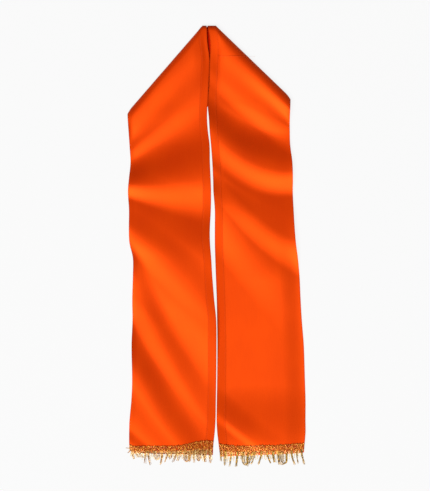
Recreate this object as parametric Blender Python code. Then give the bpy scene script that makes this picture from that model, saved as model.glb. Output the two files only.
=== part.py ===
"""Patka: a long satin sash with gold fringe, laid flat with its neck folded behind.

One strip lies on the ground. Two tails run side by side towards -Y. At the top the strip turns
over two diagonal folds and crosses behind them as the neck stretch. All lengths are millimetres
until the meshes are made. +Z is up and the tails' face looks up.
"""

import math
from collections import namedtuple

import bmesh
import bpy
from mathutils import Vector

# Driving sizes
MM = 0.001
CLOTH_WALL = 1.2
HEM_WALL = 1.0
HEM_SHARE = 0.1
HEADER_WALL = 1.6
HEADER_GAP = 0.5
GAP = 0.3
TOP_Y = 407.0
SEAM_Y = 351.5
UPPER_SNAP = 1e-5
LOWER_SNAP = 1e-3

# Rolled diagonal folds: the part above the outermost line is long and low, the part below is tight
ROLL_TUCK = 2.2
Roll = namedtuple("Roll", "reach rise outer_shoulder inner_shoulder")
ROLLS = {
    "left": Roll(11.0, 10.0, 28.0, 80.0),
    "right": Roll(14.5, 11.0, 23.5, 70.0),
}
LIP_OUTER = 12.0
LIP_APEX = 3.2
LIP_SHARE = 0.6
LIP_TURN_START = 0.72
LIP_TURN_SPAN = 0.2
LIP_SLANT = 0.22
CORNER_INSET = 3.0
CORNER_SHARE = 0.06
APEX_SHARE = 0.8
APEX_SCALE = 0.62
TANGENT_STEP = 0.03

# How far the tails are lifted where they cross the neck stretch
NECK_LIFT = 2.3
NECK_DRAPE = 70.0

# Grid counts
BODY_COLUMNS = 12
HEM_COLUMNS = 2
TAIL_ROWS = 66
NECK_ROWS = 10
ROLL_TURNS = 5
TUCK_TURNS = 3
SHOULDER_ROWS = 4

# Outline of both tails seen from above, a row per height on the sash
Width = namedtuple("Width", "y left_outer left_inner right_inner right_outer")
OUTLINE = [
    Width(407.0, -165.0, -19.2, -16.1, 136.8),
    Width(375.6, -165.0, -16.9, -11.7, 136.8),
    Width(344.1, -165.0, -13.7, -12.0, 136.8),
    Width(303.4, -165.0, -15.2, -13.7, 136.6),
    Width(260.9, -164.8, -17.4, -15.9, 136.2),
    Width(236.8, -164.3, -17.6, -14.4, 135.2),
    Width(214.6, -162.8, -16.3, -13.1, 135.2),
    Width(186.9, -161.1, -13.0, -10.4, 136.0),
    Width(155.4, -159.3, -12.4, -8.1, 139.9),
    Width(122.1, -162.2, -10.9, -6.5, 141.0),
    Width(99.9, -163.9, -10.2, -5.9, 140.8),
    Width(66.6, -161.9, -10.7, -3.3, 142.3),
    Width(29.6, -162.1, -12.6, -3.3, 144.5),
    Width(5.6, -161.0, -12.2, -3.3, 146.5),
    Width(-22.2, -154.7, -10.0, -2.6, 150.2),
    Width(-53.7, -154.7, -8.1, -1.5, 153.2),
    Width(-99.9, -156.0, -4.4, 0.2, 155.4),
    Width(-136.9, -155.6, -0.7, 0.9, 157.6),
    Width(-183.2, -157.2, -0.2, 1.4, 161.3),
    Width(-247.9, -156.1, -0.7, 0.9, 163.4),
    Width(-284.9, -157.6, -1.3, 0.3, 164.5),
    Width(-321.9, -161.0, -2.0, 0.0, 164.3),
    Width(-344.1, -161.7, -3.4, 1.1, 164.4),
    Width(-368.2, -161.5, -6.0, 3.9, 162.4),
    Width(-392.0, -159.3, -7.2, 6.8, 160.4),
]

# The diagonal fold lines, from the outer corner to the apex
FoldLine = namedtuple("FoldLine", "outer_x outer_y apex_x apex_y")
FOLD_LINES = {
    "left": FoldLine(-163.9, 248.0, -25.2, 408.2),
    "right": FoldLine(136.6, 274.0, -2.6, 408.2),
}

# The cloth's cut ends, from the outer edge to the inner edge
ClothEnd = namedtuple("ClothEnd", "outer_y inner_y corner_rise")
CLOTH_ENDS = {
    "left": ClothEnd(-382.5, -386.5, 6.0),
    "right": ClothEnd(-382.4, -389.2, 1.0),
}

# Soft folds: where each crest meets the two edges, its sag midway, its height, and how far its
# flanks reach up and down the sash
Fold = namedtuple(
    "Fold",
    "outer_y inner_y sag outer_height inner_height outer_up inner_up outer_down inner_down",
)
FOLDS = {
    "left": [
        Fold(176.5, 307.0, -4.5, 4.0, 4.5, 48.5, 78.0, 21.0, 63.5),
        Fold(116.0, 127.0, -3.5, 9.0, 12.0, 39.0, 113.0, 30.0, 88.0),
        Fold(43.0, -24.0, -7.0, 9.0, 12.0, 114.0, 120.0, 61.0, 140.0),
        Fold(-6.0, -150.0, 10.0, 5.5, 10.0, 78.0, 106.0, 80.0, 140.0),
        Fold(-62.0, -335.0, -18.0, 6.0, 0.0, 87.0, 65.0, 90.0, 19.0),
        Fold(-224.0, -434.0, -19.0, 8.5, 4.5, 95.0, 69.0, 113.0, 26.0),
        Fold(-323.0, -457.0, -14.0, 6.0, 3.0, 68.0, 27.0, 81.0, 32.0),
        Fold(-368.0, -500.0, 0.0, 4.0, 0.0, 32.0, 30.0, 34.0, 30.0),
    ],
    "right": [
        Fold(217.0, 329.0, -3.5, 6.0, 2.5, 33.0, 58.0, 54.0, 33.0),
        Fold(139.0, 216.5, -21.5, 12.0, 12.0, 74.0, 67.0, 48.0, 63.5),
        Fold(11.0, 144.0, -15.5, 12.0, 8.0, 140.0, 70.0, 71.0, 53.5),
        Fold(-68.0, 92.0, -4.0, 2.0, 12.0, 114.0, 45.0, 140.0, 106.0),
        Fold(-378.0, -380.0, 9.0, 6.0, 8.5, 115.0, 115.0, 40.0, 40.0),
        Fold(-430.0, -305.0, -4.0, 0.0, 3.0, 50.0, 50.0, 20.0, 24.0),
    ],
}

# Lengthwise ridges: where across the tail the crest runs, its height, where it starts and ends, and
# how far its ends and flanks reach. The right tail's outer edge drops to the ground past its ridge
Ridge = namedtuple("Ridge", "share height top_y bottom_y end_reach outer_reach inner_reach")
RIDGES = {
    "left": [],
    "right": [Ridge(0.25, 6.2, 50.0, -472.0, 115.0, 0.24, 0.78)],
}

# The gold header braid: how far its two edges lie above the cloth's end, a row per share of width
Braid = namedtuple("Braid", "share upper lower")
BRAIDS = {
    "left": [
        Braid(0.0, 12.5, 3.0),
        Braid(0.35, 14.5, 4.5),
        Braid(0.62, 17.0, 5.5),
        Braid(0.8, 24.5, 8.5),
        Braid(1.0, 26.5, 9.0),
    ],
    "right": [
        Braid(0.0, 18.0, 6.0),
        Braid(0.3, 17.0, 5.0),
        Braid(0.55, 18.5, 6.0),
        Braid(0.8, 19.0, 7.0),
        Braid(1.0, 24.0, 11.0),
    ],
}
HEADER_STEP_START = 0.05
HEADER_STEP_SPAN = 0.045
HEADER_ROWS = 3
HEADER_COLUMNS = 30

# Fringe strands: how many, how wide and thick, and how they lie
Strands = namedtuple("Strands", "count width depth reach reach_swing lean lean_swing")
STRANDS = {
    "left": Strands(50, 1.1, 0.8, 15.5, 5.5, -1.5, 4.2),
    "right": Strands(38, 1.9, 0.9, 19.5, 4.0, 0.5, 3.6),
}
STRAND_FLOOR = 0.9
STRAND_ROOT = 2.0
STRAND_INSET = 0.012
STRAND_KNEE = 1.3
STRAND_FALLS = (0.0, 0.5, 1.0)
STRAND_TAPER = 0.35
WAVE_FAST = 0.9
WAVE_SLOW = 0.37
WAVE_START = 1.0
SLOW_SHARE = 0.5

# A repeatable scatter: the fraction of a large multiple of a sine
SCATTER_STEP = 12.9898
SCATTER_START = 4.1414
SCATTER_SCALE = 43758.5453

# Halvings of the span in which a fold's outermost point is looked for
HALVINGS = 40

# Finishes, as linear colour, roughness and metallic share
Finish = namedtuple("Finish", "red green blue roughness metallic")
SATIN = Finish(0.86, 0.055, 0.004, 0.36, 0.0)
SATIN_HEM = Finish(0.80, 0.045, 0.004, 0.42, 0.0)
GOLD = Finish(0.66, 0.37, 0.08, 0.34, 0.85)


def mix(a, b, t):
    """The value a share t of the way from a to b."""
    return a + (b - a) * t


def ease(t):
    """A smooth step from 0 to 1."""
    t = min(max(t, 0.0), 1.0)
    return t * t * (3.0 - 2.0 * t)


def bump(t):
    """A smooth hump, 1 in its middle and 0 from 1 outwards."""
    return 0.5 + 0.5 * math.cos(math.pi * t) if abs(t) < 1.0 else 0.0


def along(table, key, value, at):
    """A table's column read smoothly at any value of its key column, which runs one way."""
    sign = 1.0 if getattr(table[-1], key) > getattr(table[0], key) else -1.0
    keys = [sign * getattr(row, key) for row in table]
    values = [getattr(row, value) for row in table]
    at = min(max(sign * at, keys[0]), keys[-1])
    i = max(k for k in range(len(keys) - 1) if keys[k] <= at)
    span = keys[i + 1] - keys[i]
    before = max(i - 1, 0)
    after = min(i + 2, len(keys) - 1)
    slope_a = (values[i + 1] - values[before]) / (keys[i + 1] - keys[before])
    slope_b = (values[after] - values[i]) / (keys[after] - keys[i])
    t = (at - keys[i]) / span
    rise = values[i + 1] - values[i]
    start = t * (1.0 - t) * (1.0 - t) * (slope_a * span - rise)
    finish = t * t * (1.0 - t) * (rise - slope_b * span)
    return mix(values[i], values[i + 1], t) + start + finish


def edge_x(side, share, y):
    """X of a lengthwise line of the tail: share 0 is its outer edge and share 1 its inner edge."""
    outer = along(OUTLINE, "y", side + "_outer", y)
    inner = along(OUTLINE, "y", side + "_inner", y)
    return mix(outer, inner, share)


def fold_line_y(side, x):
    """Height of the diagonal fold line over x, cut off level at the apex."""
    line = FOLD_LINES[side]
    slope = (line.apex_y - line.outer_y) / (line.apex_x - line.outer_x)
    return min(line.outer_y + slope * (x - line.outer_x), TOP_Y)


def crest(side, share):
    """The outermost point of the rolled fold on one lengthwise line."""
    low = 0.0
    high = TOP_Y
    for _ in range(HALVINGS):
        middle = 0.5 * (low + high)
        if middle < fold_line_y(side, edge_x(side, share, middle)):
            low = middle
        else:
            high = middle
    inset = CORNER_INSET * max(0.0, 1.0 - share / CORNER_SHARE) ** 2
    return Vector((edge_x(side, share, low), low - inset, 0.0))


def inward(side, share):
    """Unit direction from the fold's outermost line into the sash, seen from above."""
    a = crest(side, max(share - TANGENT_STEP, CORNER_SHARE))
    b = crest(side, min(max(share, CORNER_SHARE) + TANGENT_STEP, 1.0))
    tangent = (b - a).normalized()
    normal = Vector((tangent.y, -tangent.x, 0.0))
    return normal if normal.y < 0.0 else -normal


def roll_scale(share):
    """The roll grows smaller towards the apex, where the two folds meet."""
    return mix(1.0, APEX_SCALE, ease((share - APEX_SHARE) / (1.0 - APEX_SHARE)))


def cloth_end_y(side, share):
    """Height of the cloth's cut end on one lengthwise line."""
    end = CLOTH_ENDS[side]
    corner = end.corner_rise * max(0.0, 1.0 - share / CORNER_SHARE) ** 2
    return mix(end.outer_y, end.inner_y, share) + corner


def neck_edge_y(x):
    """Height of the neck stretch's lower edge, a straight line between the two outer corners."""
    left = FOLD_LINES["left"]
    right = FOLD_LINES["right"]
    return mix(left.outer_y, right.outer_y, (x - left.outer_x) / (right.outer_x - left.outer_x))


def fold_rise(fold, share, y):
    """Height of one soft fold at a point of the sash."""
    sag = 4.0 * share * (1.0 - share) * fold.sag
    offset = y - mix(fold.outer_y, fold.inner_y, share) - sag
    if offset > 0.0:
        reach = mix(fold.outer_up, fold.inner_up, share)
    else:
        reach = mix(fold.outer_down, fold.inner_down, share)
    return mix(fold.outer_height, fold.inner_height, share) * bump(offset / reach)


def ridge_rise(ridge, share, y):
    """Height of one lengthwise ridge at a point of the sash."""
    run = ease((ridge.top_y - y) / ridge.end_reach) * ease((y - ridge.bottom_y) / ridge.end_reach)
    offset = share - ridge.share
    reach = ridge.inner_reach if offset > 0.0 else ridge.outer_reach
    return ridge.height * run * bump(offset / reach)


def resting_height(side, share, x, y):
    """Mid-height of the cloth wall away from the rolled folds."""
    rise = sum(fold_rise(fold, share, y) for fold in FOLDS[side])
    rise += sum(ridge_rise(ridge, share, y) for ridge in RIDGES[side])
    lift = NECK_LIFT * ease((y - neck_edge_y(x)) / NECK_DRAPE + 1.0)
    return 0.5 * CLOTH_WALL + lift + rise


def shoulder_reach(side, share):
    """How far the roll's long side falls from its top to the resting cloth."""
    return mix(ROLLS[side].outer_shoulder, ROLLS[side].inner_shoulder, share)


def upper_height(side, share, x, y, inset):
    """Mid-height of the upper layer, inset being its distance inside the fold's outermost line."""
    roll = ROLLS[side]
    scale = roll_scale(share)
    reach = roll.reach * scale
    edge = 0.5 * CLOTH_WALL + ROLL_TUCK
    top = edge + roll.rise * scale
    if inset < reach:
        return edge + (top - edge) * math.sqrt(1.0 - (1.0 - inset / reach) ** 2)
    falling = ease((inset - reach) / shoulder_reach(side, share))
    return mix(top, resting_height(side, share, x, y), falling)


def columns():
    """Shares of the width at the grid's lengthwise lines, from the outer to the inner edge."""
    body = [i / BODY_COLUMNS * (1.0 - HEM_SHARE) for i in range(BODY_COLUMNS)]
    hem = [1.0 - HEM_SHARE + i / HEM_COLUMNS * HEM_SHARE for i in range(HEM_COLUMNS + 1)]
    return body + hem


def upper_insets(side, share):
    """Distances inside the outermost line at the rows of the roll and its shoulder."""
    reach = ROLLS[side].reach * roll_scale(share)
    fall = shoulder_reach(side, share)
    turns = [0.5 * math.pi * i / ROLL_TURNS for i in range(ROLL_TURNS + 1)]
    rounded = [reach * (1.0 - math.cos(turn)) for turn in turns]
    shoulder = [reach + fall * i / SHOULDER_ROWS for i in range(1, SHOULDER_ROWS + 1)]
    return rounded + shoulder


def upper_line(side, share):
    """Points of one lengthwise line of the upper layer, from the fold to the cloth's end."""
    start = crest(side, share)
    fall = -inward(side, share).y
    insets = upper_insets(side, share)
    drops = [inset / fall for inset in insets]
    length = start.y - cloth_end_y(side, share)
    step = (length - drops[-1]) / TAIL_ROWS
    drops += [drops[-1] + step * (i + 1) for i in range(TAIL_ROWS)]
    line = []
    for drop in drops:
        y = start.y - drop
        x = edge_x(side, share, y)
        line.append(Vector((x, y, upper_height(side, share, x, y, drop * fall))))
    return line


def tuck_line(side, share):
    """Points of one line from the fold's outermost point round under it to the end of its lip."""
    start = crest(side, share)
    normal = inward(side, share)
    across = Vector((1.0 if side == "left" else -1.0, 0.0, 0.0))
    turn_down = ease((share - LIP_TURN_START) / LIP_TURN_SPAN)
    close_up = Vector((across.x * LIP_SLANT, -1.0, 0.0)).normalized()
    heading = across.lerp(close_up, turn_down).normalized()
    slant = heading.dot(normal)
    lip = mix(LIP_OUTER, LIP_APEX, ease((share - LIP_SHARE) / (1.0 - LIP_SHARE)))
    line = []
    for i in range(1, TUCK_TURNS + 1):
        turn = 0.5 * math.pi * i / TUCK_TURNS
        inset = ROLL_TUCK * (1.0 - math.cos(turn))
        height = 0.5 * CLOTH_WALL + ROLL_TUCK * (1.0 - math.sin(turn))
        line.append(start + heading * (inset / slant) + Vector((0.0, 0.0, height)))
    line.append(start + heading * (lip / slant) + Vector((0.0, 0.0, 0.5 * CLOTH_WALL)))
    return line


def left_rows():
    """The left tail's grid, from the lip under its fold to its cloth end."""
    lines = [tuck_line("left", w)[::-1] + upper_line("left", w) for w in columns()]
    return [list(row) for row in zip(*lines)]


def right_rows():
    """The neck stretch and the right tail as one grid, from the left fold's lip to the end."""
    lines = []
    for share in columns():
        left_lip = tuck_line("left", share)[-1]
        right_tuck = tuck_line("right", share)[::-1]
        heading = (right_tuck[0] - left_lip).normalized()
        start = left_lip + heading * GAP
        neck = [start.lerp(right_tuck[0], i / NECK_ROWS) for i in range(NECK_ROWS)]
        lines.append(neck + right_tuck + upper_line("right", share))
    return [list(row) for row in zip(*lines)]


def grid_surface(rows):
    """An open surface through a grid of points, facing up where it runs flat under a tail."""
    surface = bmesh.new()
    grid = [[surface.verts.new(point) for point in row] for row in rows]
    for i in range(len(grid) - 1):
        for j in range(len(grid[0]) - 1):
            surface.faces.new((grid[i][j], grid[i + 1][j], grid[i + 1][j + 1], grid[i][j + 1]))
    surface.normal_update()
    return surface, grid


def face_tail_up(surface):
    """Turn the surface so that its lowest stretch, at the tail's end, faces up."""
    surface.faces.ensure_lookup_table()
    if surface.faces[-1].normal.z < 0.0:
        bmesh.ops.reverse_faces(surface, faces=surface.faces[:])
    surface.normal_update()


def with_edges(faces):
    """Faces together with their edges and vertices."""
    edges = {edge for face in faces for edge in face.edges}
    verts = {vert for face in faces for vert in face.verts}
    return list(verts) + list(edges) + list(faces)


def split_at_seam(surface, grid):
    """Cut the second length free of the first across the right fold, leaving the seam's gap."""
    fold_row = NECK_ROWS + TUCK_TURNS + 1
    upper_verts = {vert for row in grid[fold_row:] for vert in row}
    upper_mark = surface.faces.layers.int.new("upper")
    for face in surface.faces:
        face[upper_mark] = int(all(vert in upper_verts for vert in face.verts))
    crossings = []
    for y in (SEAM_Y + 0.5 * GAP, SEAM_Y - 0.5 * GAP):
        upper = [face for face in surface.faces if face[upper_mark]]
        cut = bmesh.ops.bisect_plane(
            surface, geom=with_edges(upper), dist=UPPER_SNAP, plane_co=(0, y, 0), plane_no=(0, 1, 0)
        )
        points = [item for item in cut["geom_cut"] if isinstance(item, bmesh.types.BMVert)]
        crossings.append(max(point.co.x for point in points))
    for x in crossings:
        lower = [face for face in surface.faces if not face[upper_mark]]
        bmesh.ops.bisect_plane(
            surface, geom=with_edges(lower), dist=LOWER_SNAP, plane_co=(x, 0, 0), plane_no=(1, 0, 0)
        )
    first = []
    second = []
    for face in surface.faces:
        centre = face.calc_center_median()
        ahead = SEAM_Y - centre.y if face[upper_mark] else centre.x - sum(crossings) / 2.0
        width = 0.5 * GAP if face[upper_mark] else 0.5 * abs(crossings[1] - crossings[0])
        if ahead > width:
            second.append(face)
        elif ahead < -width:
            first.append(face)
    return first, second


def thick_wall(faces, wall, normals, offset=0.0):
    """A closed wall on some faces of a surface, centred on them or moved out along their normals."""
    solid = bmesh.new()
    upper = {}
    lower = {}
    for face in faces:
        for vert in face.verts:
            if vert not in upper:
                normal = normals[vert]
                upper[vert] = solid.verts.new(vert.co + normal * (offset + 0.5 * wall))
                lower[vert] = solid.verts.new(vert.co + normal * (offset - 0.5 * wall))
    chosen = set(faces)
    for face in faces:
        solid.faces.new([upper[vert] for vert in face.verts])
        solid.faces.new([lower[vert] for vert in reversed(face.verts)])
        for loop in face.loops:
            if sum(other in chosen for other in loop.edge.link_faces) == 1:
                a = loop.vert
                b = loop.link_loop_next.vert
                solid.faces.new((upper[b], upper[a], lower[a], lower[b]))
    bmesh.ops.triangulate(solid, faces=solid.faces[:])
    solid.normal_update()
    return solid


def material(name, finish):
    """A plain Principled finish."""
    made = bpy.data.materials.new(name)
    made.use_nodes = True
    shader = next(node for node in made.node_tree.nodes if node.type == "BSDF_PRINCIPLED")
    shader.inputs["Base Color"].default_value = (finish.red, finish.green, finish.blue, 1.0)
    shader.inputs["Roughness"].default_value = finish.roughness
    shader.inputs["Metallic"].default_value = finish.metallic
    made.diffuse_color = (finish.red, finish.green, finish.blue, 1.0)
    return made


def add_node(name, solid, finish):
    """Add one closed body to the scene, in metres."""
    bmesh.ops.scale(solid, vec=(MM, MM, MM), verts=solid.verts[:])
    mesh = bpy.data.meshes.new(name)
    solid.to_mesh(mesh)
    solid.free()
    for polygon in mesh.polygons:
        polygon.use_smooth = True
    body = bpy.data.objects.new(name, mesh)
    mesh.materials.append(material(name + "_finish", finish))
    bpy.context.scene.collection.objects.link(body)
    return body


def vertex_normals(surface):
    """Unit normals of an open surface's vertices."""
    return {vert: vert.normal.normalized() for vert in surface.verts}


def hem_faces(grid):
    """The faces of the inner edge band, from the fold's outermost line to the cloth's end."""
    first = len(grid[0]) - 1 - HEM_COLUMNS
    start = len(grid) - 1 - TAIL_ROWS - SHOULDER_ROWS - ROLL_TURNS
    verts = {vert for row in grid[start:] for vert in row[first:]}
    faces = {face for vert in verts for face in vert.link_faces}
    return [face for face in faces if all(vert in verts for vert in face.verts)]


def header_height(side, share, x, y):
    """Mid-height of the header braid, which lies on the cloth and steps up over the hem."""
    step = ease((share - (1.0 - HEM_SHARE) + HEADER_STEP_START) / HEADER_STEP_SPAN)
    clear = 0.5 * CLOTH_WALL + HEADER_GAP + 0.5 * HEADER_WALL
    return resting_height(side, share, x, y) + clear + step * (HEM_WALL + GAP)


def header_rows(side):
    """The header braid's grid, from its upper to its lower edge."""
    rows = []
    for i in range(HEADER_ROWS + 1):
        row = []
        for j in range(HEADER_COLUMNS + 1):
            share = j / HEADER_COLUMNS
            upper = along(BRAIDS[side], "share", "upper", share)
            lower = along(BRAIDS[side], "share", "lower", share)
            y = cloth_end_y(side, share) + mix(upper, lower, i / HEADER_ROWS)
            x = edge_x(side, share, y)
            row.append(Vector((x, y, header_height(side, share, x, y))))
        rows.append(row)
    return rows


def wander(seed):
    """A repeatable value between -1 and 1 for each whole number."""
    value = math.sin(seed * SCATTER_STEP + SCATTER_START) * SCATTER_SCALE
    return 2.0 * (value - math.floor(value)) - 1.0


def strand_line(side, index):
    """Centre points of one fringe strand: root in the header, knee past the end, tip by the ground."""
    strands = STRANDS[side]
    share = mix(STRAND_INSET, 1.0 - STRAND_INSET, (index + 0.5) / strands.count)
    end_y = cloth_end_y(side, share)
    lower = along(BRAIDS[side], "share", "lower", share)
    root_y = end_y + lower + STRAND_ROOT
    root_x = edge_x(side, share, root_y)
    reach = strands.reach + strands.reach_swing * wander(index * 3 + 1)
    sway = math.sin(index * WAVE_FAST) + SLOW_SHARE * math.sin(index * WAVE_SLOW + WAVE_START)
    lean = strands.lean + strands.lean_swing * 0.5 * sway
    knee_y = end_y - STRAND_KNEE
    knee_z = header_height(side, share, root_x, end_y)
    line = [Vector((root_x, root_y, header_height(side, share, root_x, root_y)))]
    for fall in STRAND_FALLS:
        y = mix(knee_y, end_y - reach, fall)
        line.append(Vector((root_x + lean * fall * fall, y, mix(knee_z, STRAND_FLOOR, ease(fall)))))
    return line


def add_strand(solid, side, index):
    """One flat four-sided strand along its centre line, tapering to its tip."""
    strands = STRANDS[side]
    line = strand_line(side, index)
    rings = []
    for i, point in enumerate(line):
        taper = 1.0 - STRAND_TAPER * i / (len(line) - 1)
        half_width = 0.5 * strands.width * taper
        half_depth = 0.5 * strands.depth * taper
        corners = ((-1, -1), (1, -1), (1, 1), (-1, 1))
        offsets = [Vector((a * half_width, 0.0, b * half_depth)) for a, b in corners]
        rings.append([solid.verts.new(point + offset) for offset in offsets])
    for ring, following in zip(rings, rings[1:]):
        for k in range(4):
            m = (k + 1) % 4
            solid.faces.new((ring[k], ring[m], following[m], following[k]))
    solid.faces.new(list(reversed(rings[0])))
    solid.faces.new(rings[-1])


def fringe(side):
    """The header braid with its strands fused on, as one closed body."""
    surface, _ = grid_surface(header_rows(side))
    face_tail_up(surface)
    header = thick_wall(surface.faces[:], HEADER_WALL, vertex_normals(surface))
    surface.free()
    name = side + "_gold_fringe"
    body = add_node(name, header, GOLD)
    threads = bmesh.new()
    for index in range(STRANDS[side].count):
        add_strand(threads, side, index)
    bmesh.ops.recalc_face_normals(threads, faces=threads.faces[:])
    tool = add_node(name + "_tool", threads, GOLD)
    union = body.modifiers.new("threads", "BOOLEAN")
    union.operation = "UNION"
    union.solver = "EXACT"
    union.object = tool
    bpy.context.view_layer.update()
    joined = bmesh.new()
    joined.from_object(body, bpy.context.evaluated_depsgraph_get())
    bmesh.ops.triangulate(joined, faces=joined.faces[:])
    body.modifiers.remove(union)
    joined.to_mesh(body.data)
    joined.free()
    bpy.data.objects.remove(tool, do_unlink=True)


def cloth_stretches():
    """The three stretches of the strip and the band along its inner edge."""
    left, left_grid = grid_surface(left_rows())
    face_tail_up(left)
    normals = vertex_normals(left)
    add_node("left_tail", thick_wall(left.faces[:], CLOTH_WALL, normals), SATIN)
    offset = 0.5 * CLOTH_WALL + GAP + 0.5 * HEM_WALL
    hem = thick_wall(hem_faces(left_grid), HEM_WALL, normals, offset)
    add_node("left_edge_hem", hem, SATIN_HEM)
    left.free()

    right, right_grid = grid_surface(right_rows())
    face_tail_up(right)
    normals = vertex_normals(right)
    hem = thick_wall(hem_faces(right_grid), HEM_WALL, normals, offset)
    add_node("right_edge_hem", hem, SATIN_HEM)
    first, second = split_at_seam(right, right_grid)
    right.normal_update()
    normals = vertex_normals(right)
    add_node("neck_stretch", thick_wall(first, CLOTH_WALL, normals), SATIN)
    add_node("right_tail", thick_wall(second, CLOTH_WALL, normals), SATIN)
    right.free()


def main():
    for old in list(bpy.data.objects):
        bpy.data.objects.remove(old, do_unlink=True)
    cloth_stretches()
    fringe("left")
    fringe("right")


main()
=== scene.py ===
"""A satin patka with gold fringe, laid flat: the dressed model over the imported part.

Run as a script. The geometry is worked in millimetres and made in metres. +Z is up, the tails run
towards -Y and the folded neck lies at +Y.
"""

import math
from collections import namedtuple

import bmesh
import bpy
import numpy as np
from bpy.props import FloatProperty, FloatVectorProperty, IntProperty, PointerProperty
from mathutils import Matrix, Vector


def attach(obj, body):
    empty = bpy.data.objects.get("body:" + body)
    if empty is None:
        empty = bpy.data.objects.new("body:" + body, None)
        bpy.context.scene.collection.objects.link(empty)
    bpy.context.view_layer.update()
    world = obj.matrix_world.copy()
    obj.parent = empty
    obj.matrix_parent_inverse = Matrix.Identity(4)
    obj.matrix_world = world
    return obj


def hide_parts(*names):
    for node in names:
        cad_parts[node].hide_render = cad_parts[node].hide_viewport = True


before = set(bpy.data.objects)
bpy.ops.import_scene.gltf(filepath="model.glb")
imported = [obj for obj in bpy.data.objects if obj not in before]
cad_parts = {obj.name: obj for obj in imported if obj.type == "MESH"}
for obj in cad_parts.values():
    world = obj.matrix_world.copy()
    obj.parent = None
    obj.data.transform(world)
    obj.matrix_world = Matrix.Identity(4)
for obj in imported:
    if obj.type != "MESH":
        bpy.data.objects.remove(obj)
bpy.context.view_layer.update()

bl_info = {
    "name": "Satin patka",
    "version": (1, 0, 0),
    "blender": (4, 5, 0),
    "location": "View3D > Sidebar > Patka",
    "description": "Builds a laid satin patka with hems, stitches, gold braid and thread fringe",
    "category": "Object",
}

MM = 0.001
MM_PER_M = 1000.0

# Outline of both tails seen from above
Width = namedtuple("Width", "y left_outer left_inner right_inner right_outer")
OUTLINE = [
    Width(407.0, -165.0, -18.6, -16.8, 136.8),
    Width(375.6, -165.0, -17.2, -11.4, 136.8),
    Width(344.1, -165.0, -13.3, -12.4, 136.8),
    Width(303.4, -165.0, -14.8, -14.1, 136.6),
    Width(260.9, -164.8, -17.0, -16.3, 136.2),
    Width(236.8, -164.3, -17.6, -14.4, 135.2),
    Width(214.6, -162.8, -16.3, -13.1, 135.2),
    Width(186.9, -161.1, -13.0, -10.4, 136.0),
    Width(155.4, -159.3, -12.4, -8.1, 139.9),
    Width(122.1, -162.2, -10.9, -6.5, 141.0),
    Width(99.9, -163.9, -10.2, -5.9, 140.8),
    Width(66.6, -161.9, -10.7, -3.3, 142.3),
    Width(29.6, -162.1, -12.6, -3.3, 144.5),
    Width(5.6, -161.0, -12.2, -3.3, 146.5),
    Width(-22.2, -154.7, -10.0, -2.6, 150.2),
    Width(-53.7, -154.7, -8.1, -1.5, 153.2),
    Width(-99.9, -156.0, -4.4, 0.2, 155.4),
    Width(-136.9, -155.6, -0.7, 0.9, 157.6),
    Width(-183.2, -157.2, -0.2, 1.4, 161.3),
    Width(-247.9, -156.1, -0.7, 0.9, 163.4),
    Width(-284.9, -157.6, -1.3, 0.3, 164.5),
    Width(-321.9, -161.0, -2.0, 0.0, 164.3),
    Width(-344.1, -161.7, -3.4, 1.1, 164.4),
    Width(-368.2, -161.5, -6.0, 3.9, 162.4),
    Width(-392.0, -159.3, -7.2, 6.8, 160.4),
]

# The diagonal fold lines, from the outer corner to the apex
FoldLine = namedtuple("FoldLine", "outer_x outer_y apex_x apex_y")
FOLD_LINES = {
    "left": FoldLine(-163.9, 248.0, -25.2, 408.2),
    "right": FoldLine(136.6, 274.0, -2.6, 408.2),
}
TOP_Y = 407.0

# The join seam across the right fold, the gap it leaves between the two lengths, and how near to
# its cuts a corner counts as on them, in the upper layer and in the one below
SEAM_Y = 351.5
SEAM_GAP = 0.3
UPPER_SNAP = 1e-5
LOWER_SNAP = 1e-3

# How far the turned hem stands clear of the satin under it
HEM_CLEAR = 0.05

# The cloth's cut ends
ClothEnd = namedtuple("ClothEnd", "outer_y inner_y corner_rise")
CLOTH_ENDS = {
    "left": ClothEnd(-382.5, -386.5, 6.0),
    "right": ClothEnd(-382.4, -389.2, 1.0),
}

# The cloth's middle above the ground where it lies flat
MID_HEIGHT = 0.6

# The rolled folds: the part above the outermost line is long and low, the part below is tight
ROLL_TUCK = 2.2
Roll = namedtuple("Roll", "reach rise outer_shoulder inner_shoulder")
ROLLS = {
    "left": Roll(11.0, 10.0, 28.0, 80.0),
    "right": Roll(14.5, 11.0, 23.5, 70.0),
}
CORNER_INSET = 3.0
CORNER_SHARE = 0.06
APEX_SHARE = 0.8
APEX_SCALE = 0.62

# The lip under each fold: its length at the outer edge and at the apex, from which share it grows
# shorter, and where it turns from across the sash to down along it
LIP_OUTER = 12.0
LIP_APEX = 3.2
LIP_SHARE = 0.6
LIP_TURN_START = 0.72
LIP_TURN_SPAN = 0.2
LIP_SLANT = 0.22

# The neck stretch: how far it lifts the tails that cross it and over what length they come down,
# and how far its upper edge rises in the middle
NECK_LIFT = 2.3
NECK_DRAPE = 70.0
NECK_PEAK = 2.2

# Painted shade on the neck's satin where it shows in the slit under the tails, and from which share
# across
NECK_SLIT_SHADE = 0.1
SLIT_SHADE_START = 0.35
SLIT_SHADE_SPAN = 0.2

# Grid lines round the folds, along their shoulders and across the neck stretch
ROLL_LINES = 15
SHOULDER_LINES = 15
TUCK_LINES = 9
NECK_LINES = 40

# Halvings of the span in which a fold's outermost point is looked for, and the share of the width
# over which its direction is measured
HALVINGS = 40
TANGENT_STEP = 0.03

# Painted shade: how much darker the satin is coloured where it turns over the fold and how far in
# from the outline, and the same under the braid and how far past the braid's upper edge
FOLD_SHADE = 0.42
FOLD_SHADE_REACH = 6.0
END_SHADE = 0.55
END_SHADE_PAST = 1.0
END_SHADE_FADE = 4.0
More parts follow.
